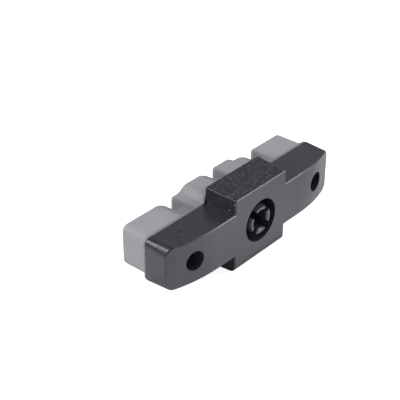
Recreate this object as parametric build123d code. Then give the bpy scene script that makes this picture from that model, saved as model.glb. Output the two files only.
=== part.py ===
from build123d import *
import math
import os

# A cartridge pad for a hydraulic rim brake: a moulded carrier with a friction block moulded onto it.
# All sizes are in millimetres. X runs along the rim, Y from the carrier's back face to the rim, Z up.
# The origin is the middle of the piston socket's mouth, on the carrier's flat back face.

# Carrier bar
carrier_length = 50.4
carrier_depth = 7.5
wing_height = 9.6
wing_back_corner_radius = 2.2
wing_front_corner_radius = 1.2
flat_back_length = 26.0
wing_sweep_radius = 33.5

# Guide block in the middle of the carrier, drafted so that it is wider towards the rim
block_back_width = 15.5
block_rise = 7.95
block_drop = 8.7
block_draft_angle = 2.5
block_lower_edge_radius = 1.6
block_corner_radius = 0.3

# Bevels of the carrier's back and front edges
back_bevel = 0.2
front_bevel = 0.12

# Piston socket: a round counterbore with four snap fingers standing in it
socket_radius = 4.6
socket_depth = 5.6
finger_bore_radius = 2.05
finger_wall = 1.2
finger_slot_width = 1.5
finger_slot_angles = (45, 135)
finger_lead_in = 0.3
finger_tip_taper = 0.35
finger_tip_taper_length = 0.9
finger_foot_chamfer = 0.35

# Blind holes near the two ends
end_hole_radius = 2.1
end_hole_spacing = 37.8
end_hole_depth = 5.0

# Lip of the friction block, which starts where the bevel of the carrier's front edges ends
lip_block_setback = 1.65
lip_thickness = 0.35
lip_flare = 0.55

# Friction block, stepped in from its lip
friction_depth = 6.9
friction_end_step = 0.8
friction_side_step = 0.13
friction_corner_radius = 1.6
friction_edge_radius = 0.6

# Raised middle of the friction block, steep at the carrier and eased towards the rim
raised_step = 1.15
raised_side_step = 0.3
ramp_run = 0.5
ramp_blend_radius = 0.5
rim_ramp_taper = 1.1
rim_ramp_run = 1.9
rim_ramp_blend_radius = 2.2

# Transverse grooves in the friction face
groove_count = 3
groove_pitch = 12.4
groove_floor_width = 2.4
groove_depth = 4.1
groove_wall_angle = 4.0
groove_mouth_radius = 1.3
groove_mouth_steps = 3

# Margin by which cutting solids run past what they cut
overrun = 1.0

# Small margin by which the rounding of a groove's mouth crosses the two faces that it joins
crossing = 0.04

# Closeness within which an edge counts as lying on a face
touch = 0.01

finger_outer_radius = finger_bore_radius + finger_wall
block_spread = carrier_depth * math.tan(math.radians(block_draft_angle))
block_front_width = block_back_width + 2 * block_spread
rim_face_y = carrier_depth + friction_depth
lip_length = carrier_length - 2 * front_bevel
lip_height = wing_height - 2 * front_bevel
lip_middle_width = block_front_width - 2 * front_bevel
lip_middle_height = 2 * (block_rise + block_spread - lip_block_setback)
friction_length = lip_length - 2 * friction_end_step
friction_height = lip_height - 2 * friction_side_step
raised_height = friction_height + 2 * raised_step
raised_width = lip_middle_width - 2 * raised_side_step
raised_rim_width = raised_width - 2 * rim_ramp_taper
groove_wall_slope = math.tan(math.radians(groove_wall_angle))


def facing_back(y):
    """The plane across the pad at depth y, with X to the right and Z up."""
    return Plane(origin=(0, y, 0), x_dir=(1, 0, 0), z_dir=(0, -1, 0))


def back_depth(x):
    """Depth of the carrier's back face at x: flat in the middle, swept towards the rim at the ends."""
    past_flat = max(0, abs(x) - flat_back_length / 2)
    return wing_sweep_radius - math.sqrt(wing_sweep_radius**2 - past_flat**2)


def wing_bar():
    """The long bar, with its swept ends, and with corners that are rounder at the back than at the front."""
    half = carrier_length / 2
    flat = flat_back_length / 2
    mid_x = (half + flat) / 2
    mid_y = back_depth(mid_x)
    end_y = back_depth(half)
    plan = make_face(
        [
            Line((-flat, 0), (flat, 0)),
            ThreePointArc((flat, 0), (mid_x, mid_y), (half, end_y)),
            Line((half, end_y), (half, carrier_depth)),
            Line((half, carrier_depth), (-half, carrier_depth)),
            Line((-half, carrier_depth), (-half, end_y)),
            ThreePointArc((-half, end_y), (-mid_x, mid_y), (-flat, 0)),
        ]
    )
    bar = extrude(plan, wing_height / 2, both=True)
    back = RectangleRounded(carrier_length, wing_height, wing_back_corner_radius)
    front = RectangleRounded(carrier_length, wing_height, wing_front_corner_radius)
    return bar & loft([facing_back(0) * back, facing_back(carrier_depth) * front], ruled=True)


def guide_block():
    """The block between the wings: its drafted plan and its drafted side view, cut to each other."""
    half_back = block_back_width / 2
    half_front = block_front_width / 2
    plan = Polyline(
        (-half_back, 0),
        (half_back, 0),
        (half_front, carrier_depth),
        (-half_front, carrier_depth),
        close=True,
    )
    side_view = Polyline(
        (0, block_rise),
        (carrier_depth, block_rise + block_spread),
        (carrier_depth, -block_drop - block_spread),
        (0, -block_drop),
        close=True,
    )
    side_view = make_face(side_view)
    lower_back_corner = side_view.vertices().group_by(Axis.X)[0].sort_by(Axis.Y)[0]
    side_view = fillet(lower_back_corner, block_lower_edge_radius)
    tall = extrude(make_face(plan), block_rise + block_drop, both=True)
    return tall & extrude(Plane.YZ * side_view, block_front_width, both=True)


def is_back_edge(edge):
    """True for the edges round the back face, apart from the smooth seams in it."""
    middle = edge.center()
    sweep_start = abs(abs(middle.X) - flat_back_length / 2) < touch
    rounding_start = middle.Z < block_lower_edge_radius - block_drop
    on_back = all(abs(corner.Y - back_depth(corner.X)) < touch for corner in edge.vertices())
    return on_back and not sweep_start and not rounding_start


def is_block_corner(edge):
    """True for the two top edges of the guide block that run from back to front."""
    middle = edge.center()
    beside_block = 0 < abs(middle.X) - block_back_width / 2 < block_spread
    return beside_block and 0 < middle.Z - block_rise < block_spread


def is_front_edge(edge):
    """True for the edges round the front face, where the friction block lies."""
    return all(abs(corner.Y - carrier_depth) < touch for corner in edge.vertices())


def carrier_blank():
    """Bar and block as one moulding, with rounded corners and bevelled back and front edges."""
    blank = wing_bar() + guide_block()
    blank = fillet(blank.edges().filter_by(is_block_corner), block_corner_radius)
    blank = chamfer(blank.edges().filter_by(is_back_edge), back_bevel)
    return chamfer(blank.edges().filter_by(is_front_edge), front_bevel)


def snap_fingers():
    """A ring that stands on the socket's floor, split into four fingers by two crossed slots."""
    half_section = Polyline(
        (finger_bore_radius, finger_lead_in),
        (finger_bore_radius + finger_lead_in, 0),
        (finger_outer_radius - finger_tip_taper, 0),
        (finger_outer_radius, finger_tip_taper_length),
        (finger_outer_radius, socket_depth - finger_foot_chamfer),
        (finger_outer_radius + finger_foot_chamfer, socket_depth),
        (finger_bore_radius, socket_depth),
        close=True,
    )
    ring = revolve(make_face(half_section), Axis.Y)
    slot = Box(2 * socket_radius, 2 * (socket_depth + overrun), finger_slot_width)
    for angle in finger_slot_angles:
        ring -= Rot(0, angle, 0) * slot
    return ring


def carrier():
    """The carrier, with its socket and fingers and the two blind holes near the ends."""
    body = carrier_blank()
    socket = extrude(facing_back(0) * Circle(socket_radius), -socket_depth)
    body -= socket + Pos(0, -overrun, 0) * socket
    body += snap_fingers()
    for side in (-1, 1):
        hole = facing_back(end_hole_depth) * Pos(side * end_hole_spacing / 2, 0) * Circle(end_hole_radius)
        body -= extrude(hole, end_hole_depth + overrun)
    return body


def friction_outline(y, size, corner_radius, middle, run, blend_radius):
    """Outline across the friction block at depth y: a long bar with a raised middle on both sides."""
    length, height = size
    middle_width, middle_height = middle
    top = middle_width / 2
    foot = top + run
    between = (length / 2 + foot) / 2
    quarter = [(length / 2, height / 2), (foot, height / 2), (top, middle_height / 2)]
    upper = quarter + [(-x, z) for x, z in reversed(quarter)]
    points = upper + [(x, -z) for x, z in reversed(upper)]
    face = make_face(Polyline(*points, close=True))
    face = fillet(face.vertices().filter_by(lambda corner: abs(corner.X) > between), corner_radius)
    face = fillet(face.vertices().filter_by(lambda corner: abs(corner.X) < between), blend_radius)
    return facing_back(y) * face


def friction_blank():
    """Lip, flare and block of the friction material, before its rim face is shaped."""
    lip_bar = ((lip_length, lip_height), wing_front_corner_radius - front_bevel)
    lip_middle = (lip_middle_width, lip_middle_height)
    bar = ((friction_length, friction_height), friction_corner_radius)
    middle = (raised_width, raised_height)
    rim_middle = (raised_rim_width, raised_height)
    lip_top = carrier_depth + lip_thickness
    foot = lip_top + lip_flare
    sections = [
        friction_outline(carrier_depth, *lip_bar, lip_middle, ramp_run, ramp_blend_radius),
        friction_outline(lip_top, *lip_bar, lip_middle, ramp_run, ramp_blend_radius),
        friction_outline(foot, *bar, middle, ramp_run, ramp_blend_radius),
        friction_outline(rim_face_y, *bar, rim_middle, rim_ramp_run, rim_ramp_blend_radius),
    ]
    return loft(sections, ruled=True)


def groove_cutter():
    """The plain groove: flat floor and slightly flared walls."""
    floor = groove_floor_width / 2
    top = floor + (groove_depth + overrun) * groove_wall_slope
    floor_line = [(-floor, -groove_depth), (floor, -groove_depth)]
    profile = make_face(Polyline(*floor_line, (top, overrun), (-top, overrun), close=True))
    return extrude(profile, raised_height / 2 + overrun, both=True)


def mouth_outline():
    """Outline of what is cut at one edge of a groove's mouth, above an arc that joins wall and rim face."""
    inset = groove_mouth_radius - crossing
    wall = groove_floor_width / 2 + (groove_depth - inset) * groove_wall_slope
    centre = (wall + inset / math.cos(math.radians(groove_wall_angle)), -inset)
    arc = CenterArc(centre, groove_mouth_radius, 90, 90 - groove_wall_angle)
    on_rim_face = arc @ 0
    on_wall = arc @ 1
    rest = Polyline(on_rim_face, (on_rim_face.X, overrun), (0, overrun), (0, on_wall.Y), on_wall)
    return make_face([arc, rest])


def mouth_cutter(half_height):
    """Cutter for both edges of a groove's mouth, which follows the block's rounded rim edges round."""
    radius = friction_edge_radius
    upper = []
    for n in range(groove_mouth_steps + 1):
        turn = math.pi / 2 * n / groove_mouth_steps
        upper.append((half_height - radius + radius * math.sin(turn), radius - radius * math.cos(turn)))
    upper.append((half_height + overrun, radius))
    levels = [(-z, sunk) for z, sunk in reversed(upper)] + upper
    outline = mouth_outline()
    right = loft([Pos(-sunk * groove_wall_slope, -sunk, z) * outline for z, sunk in levels], ruled=True)
    return right + mirror(right, Plane.YZ)


def friction_block():
    """The friction block, with its rim face edges rounded and the grooves cut across."""
    block = friction_blank()
    rim_face = block.faces().sort_by(Axis.Y)[-1]
    block = fillet(rim_face.edges(), friction_edge_radius)
    for n in range(groove_count):
        x = (n - (groove_count - 1) / 2) * groove_pitch
        in_raised_part = abs(x) < raised_rim_width / 2
        height = raised_height if in_raised_part else friction_height
        block -= Pos(x, rim_face_y, 0) * (groove_cutter() + mouth_cutter(height / 2))
    return block


os.makedirs("parts", exist_ok=True)
export_step(carrier(), "parts/carrier.step")
export_step(friction_block(), "parts/friction_block.step")
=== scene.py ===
import math

import bpy
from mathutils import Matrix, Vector


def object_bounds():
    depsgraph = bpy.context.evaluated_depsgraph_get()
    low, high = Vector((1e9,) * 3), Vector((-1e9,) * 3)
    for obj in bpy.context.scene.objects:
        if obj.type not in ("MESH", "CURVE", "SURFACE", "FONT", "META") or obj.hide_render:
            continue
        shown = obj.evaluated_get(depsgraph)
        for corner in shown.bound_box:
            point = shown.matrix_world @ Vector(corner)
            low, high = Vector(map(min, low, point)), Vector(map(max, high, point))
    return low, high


# The pad stands on its guide block, with its piston side towards the camera.
# Lengths are in metres. MM turns millimetres into metres.
MM = 0.001

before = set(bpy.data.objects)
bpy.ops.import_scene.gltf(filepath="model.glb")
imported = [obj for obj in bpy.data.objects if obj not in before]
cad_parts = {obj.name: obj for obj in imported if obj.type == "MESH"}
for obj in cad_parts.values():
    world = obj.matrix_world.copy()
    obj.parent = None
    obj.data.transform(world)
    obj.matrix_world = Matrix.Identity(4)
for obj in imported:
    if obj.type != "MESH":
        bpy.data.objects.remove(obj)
cad_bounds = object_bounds()
floor_height = cad_bounds[0][2]

# Noises: the width of one bump, the noise's detail and its roughness
FINE_GRAIN = (0.26 * MM, 2.0, 0.6)
COARSE_GRAIN = (0.5 * MM, 3.0, 0.6)
SPECKLE = (0.6 * MM, 4.0, 0.7)
MOTTLE = (2.5 * MM, 3.0, 0.5)
COMPOUND_PIT = (0.8 * MM, 2.0, 0.5)
COMPOUND_MOTTLE = (1.8 * MM, 3.0, 0.5)
COMPOUND_WAVES = (1.8 * MM, 2.0, 0.5)

# Carrier plastic. Greys go from 0 for black to 1 for white, and a cast is what a grey is multiplied by.
PLASTIC_CAST = (1.0, 0.985, 1.15)
PLASTIC_SHINE = (0.93, 0.915, 1.0, 1.0)
PLASTIC_SPECULAR = 0.58
PLASTIC_GREYS = (0.004, 0.011)
MOTTLE_RANGE = (0.3, 0.7)
# Bores and finger tips are paler: painted light inside the socket and end holes, and on the finger tips
HOLE_PAINTED_LIGHT_GREY = 0.034
FINGER_TIP_PAINTED_LIGHT_GREY = 0.055
BLOCK_TOP_GREYS = (0.003, 0.045)
SPECKLE_RANGE = (0.46, 0.66)
PALE_SPECK_GREY = 0.5
# Pale back edges of the plastic: partly wear, partly a painted highlight along the arrises
EDGE_WEAR_AND_HIGHLIGHT_GREY = 0.14
EDGE_WEAR_AND_HIGHLIGHT_RANGE = (0.01, 0.12)
EDGE_WEAR_AND_HIGHLIGHT_SHARE = 0.5
PLASTIC_ROUGHNESS = 0.27
MOTTLE_ROUGHNESS = 0.06
BLOCK_TOP_ROUGHNESS = 0.18
WING_END_ROUGHNESS = 0.06

# Heights of the plastic's grain and marks, as shares of the grain's depth
GRAIN_DEPTH = 0.09 * MM
GRAIN_SHARE = 0.42
FINE_SHARE = 0.3
COARSE_SHARE = 0.35
BLOCK_TOP_COARSE_SHARE = 1.2
SMUDGE_SHARE = 0.9

# Places on the carrier: bands along an axis, and bores as a place along X and a radius
BLOCK_TOP_BAND = (7.9 * MM, 7.94 * MM)
SOCKET = (0.0, 4.6 * MM)
END_HOLES = [(-18.9 * MM, 2.1 * MM), (18.9 * MM, 2.1 * MM)]
BORE_RIM = 0.03 * MM
# Width of the pale back edges, which are partly wear and partly painted highlight
WEAR_AND_HIGHLIGHT_EDGE_RADIUS = 0.14 * MM
BACK_EDGE_BAND = (2.6 * MM, 3.4 * MM)
FINGER_TIPS = (3.2 * MM, 3.4 * MM)
FINGER_TIP_DEPTH = (0.3 * MM, 0.8 * MM)
WING_END_BAND = (22.6 * MM, 23.4 * MM)

# Small marks: pale specks on the block's side, and dents in the top of the left wing
PALE_SPECKS = [(-7.76 * MM, 0.4 * MM, 7.0 * MM), (-7.82 * MM, 1.6 * MM, 5.4 * MM)]
PALE_SPECK_RADIUS = 0.22 * MM
WING_DENTS = [
    (-21.7 * MM, 4.3 * MM, 4.8 * MM),
    (-20.9 * MM, 3.6 * MM, 4.8 * MM),
    (-20.1 * MM, 3.9 * MM, 4.8 * MM),
]
WING_DENT_RADIUS = 0.35 * MM
WING_SMUDGE = [(-19.3 * MM, 3.8 * MM, 4.8 * MM), (-19.0 * MM, 4.1 * MM, 4.8 * MM)]
WING_SMUDGE_RADIUS = 0.75 * MM

# Friction compound, with its greys and how much of each darker or paler one shows
COMPOUND_CAST = (1.0, 0.985, 1.03)
COMPOUND_GREYS = (0.28, 0.31)
COMPOUND_GRAIN_GREY = 0.255
COMPOUND_GRAIN_RANGE = (0.55, 0.75)
COMPOUND_GRAIN_SHADE = 0.3
COMPOUND_PIT_GREY = 0.225
COMPOUND_PIT_RANGE = (0.66, 0.78)
COMPOUND_PIT_SHADE = 0.5
# Pale compound edges: partly dusty wear, partly a painted highlight on the rounded edges
COMPOUND_RUB_AND_HIGHLIGHT_GREY = 0.34
COMPOUND_RUB_AND_HIGHLIGHT_RADIUS = 0.25 * MM
COMPOUND_RUB_AND_HIGHLIGHT_RANGE = (0.03, 0.3)
COMPOUND_RUB_AND_HIGHLIGHT_SHARE = 0.2
COMPOUND_ROUGHNESS = 0.58
COMPOUND_GRAIN_ROUGHNESS = 0.14
COMPOUND_GRAIN_DEPTH = 0.05 * MM
COMPOUND_GRAIN_HEIGHT = 0.4
COMPOUND_WAVE_HEIGHT = 0.8
COMPOUND_PIT_HEIGHT = 0.6
# Painted shade on the compound in a band along the carrier
SEAM_PAINTED_SHADE_GREY = 0.165
SEAM_PAINTED_SHADE = 0.75
SEAM_PAINTED_SHADE_BAND = (7.7 * MM, 8.7 * MM)
# Painted shade in the grooves and over the grooved middle of the compound
GROOVE_PAINTED_SHADE_GREY = 0.14
GROOVE_PAINTED_SHADE = 0.6
GROOVED_PART_PAINTED_SHADE = 0.16
GROOVE_HALF_PITCH = 6.2 * MM
GROOVE_PAINTED_SHADE_EDGE = (1.5 * MM, 2.5 * MM)
GROOVE_PAINTED_SHADE_ENDS = (15 * MM, 17 * MM)
GROOVE_PAINTED_SHADE_DEPTH = (12.8 * MM, 14.2 * MM)

# Floor, and how it glows in reflections: dimmer under the pad, and dimmer again away from a pool of light
STUDIO_CAST = (1.0, 0.985, 1.07)
FLOOR_SIZE = 3.0
FLOOR_GREY = 0.8
FLOOR_GLOW = 0.85
WHITE_GLOW = 1.0
PAD_MIDDLE = (0.0, 7.0 * MM, 0.0)
PAD_SHADE_REACH = (31 * MM, 8.0 * MM, 1.0)
PAD_SHADE_EDGE = (0.8, 1.25)
PAD_SHADE_GLOW = 0.05
POOL_MIDDLE = (-6.0 * MM, 0.0, 0.0)
POOL_EDGE = (22 * MM, 48 * MM)
POOL_FALL = 0.6

# Sky of the studio, by the height that a ray points to: 0 at the horizon and 1 overhead
HORIZON_GREY = 0.15
SKY_GREY = 0.70
OVERHEAD_GREY = 0.3
SKY_BAND = (0.05, 0.35)
OVERHEAD_BAND = (0.5, 0.85)

# Softboxes: name, direction from the pad, size, and radiance in watts a steradian and square metre
SOFTBOX_DISTANCE = 0.5
SOFTBOXES = [
    ("softbox_left", (-0.53, 0.56, 0.64), (0.10, 0.26), 23.0),
    ("softbox_right", (0.64, -0.53, 0.56), (0.14, 0.21), 8.5),
]

# Camera, as the photograph was taken
CAMERA_PLACE = (-0.144255, -0.109682, 0.117983)
CAMERA_AZIMUTH = -48.971
CAMERA_ELEVATION = 32.077
CAMERA_LENS = 98.864
CAMERA_SENSOR = 36.0
CAMERA_CLIP_START = 0.01


class Value:
    """A shader socket that can stand in sums: each operator on it adds a Math node."""

    def __init__(self, graph, socket):
        self.graph = graph
        self.socket = socket

    def math(self, operation, *others):
        return self.graph.node("ShaderNodeMath", {"operation": operation}, (self, *others))

    def __add__(self, other):
        return self.math("ADD", other)

    def __sub__(self, other):
        return self.math("SUBTRACT", other)

    def __mul__(self, other):
        return self.math("MULTIPLY", other)

    def __rsub__(self, other):
        return self.graph.node("ShaderNodeMath", {"operation": "SUBTRACT"}, (other, self))

    __radd__ = __add__
    __rmul__ = __mul__

    def clamp(self):
        """The value kept between 0 and 1."""
        return self.graph.node("ShaderNodeMath", {"operation": "ADD", "use_clamp": True}, (self, 0.0))

    def ease(self, start, end):
        """0 up to start, 1 from end on, and a smooth step between them."""
        settings = {"interpolation_type": "SMOOTHSTEP"}
        inputs = {"Value": self, "From Min": start, "From Max": end}
        return self.graph.node("ShaderNodeMapRange", settings, inputs)


class Graph:
    """The node tree of one material or of the world, with one method that adds a node."""

    def __init__(self, owner):
        owner.use_nodes = True
        self.tree = owner.node_tree
        self.tree.nodes.clear()

    def node(self, kind, settings=None, inputs=(), output=0):
        """Adds a node: its settings first, then its sockets, and gives the named output as a Value."""
        made = self.tree.nodes.new(kind)
        for name, value in (settings or {}).items():
            setattr(made, name, value)
        sockets = {socket.identifier: socket for socket in made.inputs}
        pairs = inputs.items() if isinstance(inputs, dict) else zip(sockets, inputs)
        for name, value in pairs:
            if isinstance(value, Value):
                self.tree.links.new(value.socket, sockets[name])
            else:
                sockets[name].default_value = value
        outputs = {socket.identifier: socket for socket in made.outputs}
        if not outputs:
            return None
        return Value(self, outputs[output] if output in outputs else made.outputs[output])

    def vector(self, operation, first, second, output="Vector"):
        """Vector Math on two vectors, each a link or plain numbers."""
        return self.node("ShaderNodeVectorMath", {"operation": operation}, (first, second), output)

    def noise(self, grain, detail, roughness):
        """Noise over the object's own place, with grain as the width of one bump in metres."""
        inputs = {"Vector": self.place(), "Scale": 1 / grain, "Detail": detail, "Roughness": roughness}
        return self.node("ShaderNodeTexNoise", inputs=inputs, output="Fac")

    def place(self):
        return self.node("ShaderNodeTexCoord", output="Object")

    def along(self, axis):
        """The place along X, Y or Z, in metres."""
        return self.node("ShaderNodeSeparateXYZ", inputs={"Vector": self.place()}, output=axis)

    def near(self, point, radius, solid=0.0):
        """1 at a point of the object and out to the solid radius, falling smoothly to 0 at the radius."""
        return 1 - self.vector("DISTANCE", self.place(), point, "Value").ease(solid, radius)

    def within_bore(self, centre, radius):
        """1 inside a bore along Y, with its centre at a place along X, and 0 outside it."""
        flat = self.vector("MULTIPLY", self.place(), (1.0, 0.0, 1.0))
        distance = self.vector("DISTANCE", flat, (centre, 0.0, 0.0), "Value")
        return 1 - distance.ease(radius, radius + BORE_RIM)

    def blend(self, first, second, factor):
        """A colour between two colours."""
        inputs = {"A_Color": first, "B_Color": second, "Factor_Float": factor}
        return self.node("ShaderNodeMix", {"data_type": "RGBA"}, inputs, "Result_Color")

    def edge(self, radius):
        """0 on open faces, and more the nearer an outer or inner edge is."""
        rounded = self.node("ShaderNodeBevel", {"samples": 6}, {"Radius": radius})
        straight = self.node("ShaderNodeNewGeometry", output="Normal")
        return 1 - self.vector("DOT_PRODUCT", rounded, straight, "Value")

    def bump(self, height, depth):
        """A normal bent by a height, where a height of 1 stands for the depth in metres."""
        return self.node("ShaderNodeBump", inputs={"Height": height, "Distance": depth})

    def surface(self, inputs):
        """One Principled shader as the whole surface."""
        shader = self.node("ShaderNodeBsdfPrincipled", inputs=inputs)
        self.node("ShaderNodeOutputMaterial", inputs={"Surface": shader})


def grey(level, cast=(1.0, 1.0, 1.0)):
    """A grey, with a cast where one is given."""
    return (level * cast[0], level * cast[1], level * cast[2], 1.0)


def plastic_grey(level):
    return grey(level, PLASTIC_CAST)


def compound_grey(level):
    return grey(level, COMPOUND_CAST)


def marks(g, points, radius):
    """1 at each of a few points, falling to 0 round them."""
    total = g.near(points[0], radius)
    for point in points[1:]:
        total = total + g.near(point, radius)
    return total.clamp()


def plastic_colour(g, mottle, block_top):
    """Nearly black, with painted light in the bores and on the finger tips, a paler speckle on the block
    top, and pale edges that are partly wear and partly painted highlight.
    """
    holes = g.within_bore(*SOCKET) + g.within_bore(*END_HOLES[0]) + g.within_bore(*END_HOLES[1])
    solid, outer = FINGER_TIPS
    tips = g.near((0.0, 0.0, 0.0), outer, solid) * (1 - g.along("Y").ease(*FINGER_TIP_DEPTH))
    dark, pale = [plastic_grey(level) for level in PLASTIC_GREYS]
    colour = g.blend(dark, pale, mottle)
    # Painted light: the bores and finger tips are made paler than the plastic
    colour = g.blend(colour, plastic_grey(HOLE_PAINTED_LIGHT_GREY), holes)
    colour = g.blend(colour, plastic_grey(FINGER_TIP_PAINTED_LIGHT_GREY), holes * tips)
    dark, pale = [plastic_grey(level) for level in BLOCK_TOP_GREYS]
    speckled = g.blend(dark, pale, g.noise(*SPECKLE).ease(*SPECKLE_RANGE))
    colour = g.blend(colour, speckled, block_top)
    colour = g.blend(colour, plastic_grey(PALE_SPECK_GREY), marks(g, PALE_SPECKS, PALE_SPECK_RADIUS))
    # Pale back edges, partly wear and partly painted highlight
    back_edges = g.edge(WEAR_AND_HIGHLIGHT_EDGE_RADIUS) * (1 - g.along("Y").ease(*BACK_EDGE_BAND))
    edge_wear_and_highlight = back_edges.ease(*EDGE_WEAR_AND_HIGHLIGHT_RANGE) * EDGE_WEAR_AND_HIGHLIGHT_SHARE * (1 - holes.clamp())
    return g.blend(colour, plastic_grey(EDGE_WEAR_AND_HIGHLIGHT_GREY), edge_wear_and_highlight)


def carrier_plastic():
    """Black moulded plastic: fine tool grain all over, and a coarser speckled top on the guide block."""
    made = bpy.data.materials.new("carrier_plastic")
    g = Graph(made)
    block_top = g.along("Z").ease(*BLOCK_TOP_BAND)
    wing_ends = g.along("X").math("ABSOLUTE").ease(*WING_END_BAND)
    mottle = g.noise(*MOTTLE).ease(*MOTTLE_RANGE)
    roughness = PLASTIC_ROUGHNESS + MOTTLE_ROUGHNESS * mottle
    roughness = roughness + BLOCK_TOP_ROUGHNESS * block_top + WING_END_ROUGHNESS * wing_ends
    coarse_share = COARSE_SHARE + BLOCK_TOP_COARSE_SHARE * block_top
    grain = g.noise(*FINE_GRAIN) * FINE_SHARE + g.noise(*COARSE_GRAIN) * coarse_share
    smudge = SMUDGE_SHARE * marks(g, WING_SMUDGE, WING_SMUDGE_RADIUS)
    dents = marks(g, WING_DENTS, WING_DENT_RADIUS) + smudge
    g.surface({
        "Base Color": plastic_colour(g, mottle, block_top),
        "Roughness": roughness,
        "Normal": g.bump(grain * (GRAIN_SHARE + wing_ends) - dents, GRAIN_DEPTH),
        "Specular IOR Level": PLASTIC_SPECULAR,
        "Specular Tint": PLASTIC_SHINE,
    })
    return made


def compound_colour(g, grain, pits):
    """Mottled grey, darker in its grain and pits, with painted shade in the grooves, over the grooved
    middle and along the seam to the carrier, and pale edges that are partly wear and partly painted
    highlight.
    """
    dark, pale = [compound_grey(level) for level in COMPOUND_GREYS]
    colour = g.blend(dark, pale, g.noise(*COMPOUND_MOTTLE))
    darker_grain = grain.ease(*COMPOUND_GRAIN_RANGE) * COMPOUND_GRAIN_SHADE
    colour = g.blend(colour, compound_grey(COMPOUND_GRAIN_GREY), darker_grain)
    colour = g.blend(colour, compound_grey(COMPOUND_PIT_GREY), pits * COMPOUND_PIT_SHADE)
    # Pale edges, partly wear and partly painted highlight
    rub_and_highlight = g.edge(COMPOUND_RUB_AND_HIGHLIGHT_RADIUS).ease(*COMPOUND_RUB_AND_HIGHLIGHT_RANGE) * COMPOUND_RUB_AND_HIGHLIGHT_SHARE
    colour = g.blend(colour, compound_grey(COMPOUND_RUB_AND_HIGHLIGHT_GREY), rub_and_highlight)
    # Painted shade in the grooves and, more lightly, over the grooved middle
    along = g.along("X")
    across = 1 - along.math("PINGPONG", GROOVE_HALF_PITCH).ease(*GROOVE_PAINTED_SHADE_EDGE)
    middle = 1 - along.math("ABSOLUTE").ease(*GROOVE_PAINTED_SHADE_ENDS)
    inside = across * middle * (1 - g.along("Y").ease(*GROOVE_PAINTED_SHADE_DEPTH))
    painted_shade = inside * GROOVE_PAINTED_SHADE + middle * GROOVED_PART_PAINTED_SHADE
    colour = g.blend(colour, compound_grey(GROOVE_PAINTED_SHADE_GREY), painted_shade)
    # Painted shade along the carrier
    seam = SEAM_PAINTED_SHADE * (1 - g.along("Y").ease(*SEAM_PAINTED_SHADE_BAND))
    return g.blend(colour, compound_grey(SEAM_PAINTED_SHADE_GREY), seam)


def friction_compound():
    """Grey brake compound: matt and dense, slightly mottled, with small pits, and pale edges that are
    partly dusty wear and partly painted highlight.
    """
    made = bpy.data.materials.new("friction_compound")
    g = Graph(made)
    grain = g.noise(*FINE_GRAIN)
    pits = g.noise(*COMPOUND_PIT).ease(*COMPOUND_PIT_RANGE)
    height = grain * COMPOUND_GRAIN_HEIGHT + g.noise(*COMPOUND_WAVES) * COMPOUND_WAVE_HEIGHT
    height = height - pits * COMPOUND_PIT_HEIGHT
    g.surface({
        "Base Color": compound_colour(g, grain, pits),
        "Roughness": COMPOUND_ROUGHNESS + COMPOUND_GRAIN_ROUGHNESS * grain,
        "Normal": g.bump(height, COMPOUND_GRAIN_DEPTH),
    })
    return made


def dress(node, finish):
    """Gives a CAD node its finished material."""
    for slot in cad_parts[node].material_slots:
        slot.material = finish


def glow(g, colour, strength):
    """A colour times a strength that changes over the floor or with the kind of ray."""
    return g.node("ShaderNodeVectorMath", {"operation": "SCALE"}, {"Vector": colour, "Scale": strength})


def floor_finish():
    """Pale floor with the pad's shadow. It glows evenly to the camera, and as a pool in reflections."""
    made = bpy.data.materials.new("floor_white")
    g = Graph(made)
    rays = "ShaderNodeLightPath"
    from_middle = g.vector("SUBTRACT", g.place(), PAD_MIDDLE)
    scaled = g.vector("DIVIDE", from_middle, PAD_SHADE_REACH)
    reach = g.node("ShaderNodeVectorMath", {"operation": "LENGTH"}, (scaled,), "Value")
    open_floor = PAD_SHADE_GLOW + (WHITE_GLOW - PAD_SHADE_GLOW) * reach.ease(*PAD_SHADE_EDGE)
    distance = g.vector("DISTANCE", g.place(), POOL_MIDDLE, "Value")
    pool = 1 - POOL_FALL * distance.ease(*POOL_EDGE)
    reflected = g.node(rays, output="Is Glossy Ray") * open_floor * pool
    seen = g.node(rays, output="Is Camera Ray") + g.node(rays, output="Is Transmission Ray")
    shine = glow(g, STUDIO_CAST, reflected)
    white = glow(g, (1.0, 1.0, 1.0), seen * FLOOR_GLOW)
    g.surface({
        "Base Color": grey(FLOOR_GREY),
        "Roughness": 1.0,
        "Specular IOR Level": 0.0,
        "Emission Color": g.vector("ADD", shine, white),
        "Emission Strength": 1.0,
    })
    return made


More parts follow.
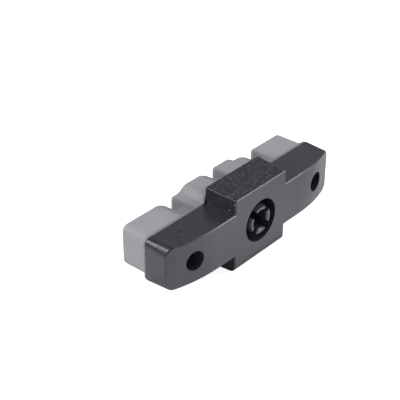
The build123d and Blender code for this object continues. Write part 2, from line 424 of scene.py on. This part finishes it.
def add_floor():
    half = FLOOR_SIZE / 2
    mesh = bpy.data.meshes.new("floor")
    corners = [(-half, -half, 0), (half, -half, 0), (half, half, 0), (-half, half, 0)]
    mesh.from_pydata(corners, [], [(0, 1, 2, 3)])
    mesh.materials.append(floor_finish())
    floor = bpy.data.objects.new("floor", mesh)
    floor.location.z = floor_height
    bpy.context.scene.collection.objects.link(floor)


def add_world():
    """Dark at the horizon, bright above it, dim overhead."""
    world = bpy.data.worlds.new("studio")
    bpy.context.scene.world = world
    g = Graph(world)
    direction = g.node("ShaderNodeTexCoord", output="Generated")
    height = g.node("ShaderNodeSeparateXYZ", inputs={"Vector": direction}, output="Z")
    sky = g.blend(grey(HORIZON_GREY, STUDIO_CAST), grey(SKY_GREY, STUDIO_CAST), height.ease(*SKY_BAND))
    sky = g.blend(sky, grey(OVERHEAD_GREY, STUDIO_CAST), height.ease(*OVERHEAD_BAND))
    background = g.node("ShaderNodeBackground", inputs={"Color": sky, "Strength": 1.0})
    g.node("ShaderNodeOutputWorld", inputs={"Surface": background})


def add_softbox(name, direction, size, radiance):
    """A rectangular softbox that faces the pad, with its power worked out from its radiance."""
    lamp = bpy.data.lights.new(name, "AREA")
    lamp.shape = "RECTANGLE"
    lamp.size, lamp.size_y = size
    lamp.energy = radiance * math.pi * size[0] * size[1]
    box = bpy.data.objects.new(name, lamp)
    towards = Vector(direction).normalized()
    box.location = towards * SOFTBOX_DISTANCE
    box.rotation_euler = towards.to_track_quat("Z", "Y").to_euler()
    bpy.context.scene.collection.objects.link(box)


def add_camera():
    data = bpy.data.cameras.new("camera")
    data.sensor_width = CAMERA_SENSOR
    data.lens = CAMERA_LENS
    data.clip_start = CAMERA_CLIP_START
    camera = bpy.data.objects.new("camera", data)
    camera.location = CAMERA_PLACE
    camera.rotation_euler = (math.radians(90 - CAMERA_ELEVATION), 0, math.radians(CAMERA_AZIMUTH))
    bpy.context.scene.collection.objects.link(camera)
    bpy.context.scene.camera = camera


dress("carrier", carrier_plastic())
dress("friction_block", friction_compound())
add_floor()
add_world()
for softbox in SOFTBOXES:
    add_softbox(*softbox)
add_camera()
bpy.context.scene.view_settings.view_transform = "Standard"
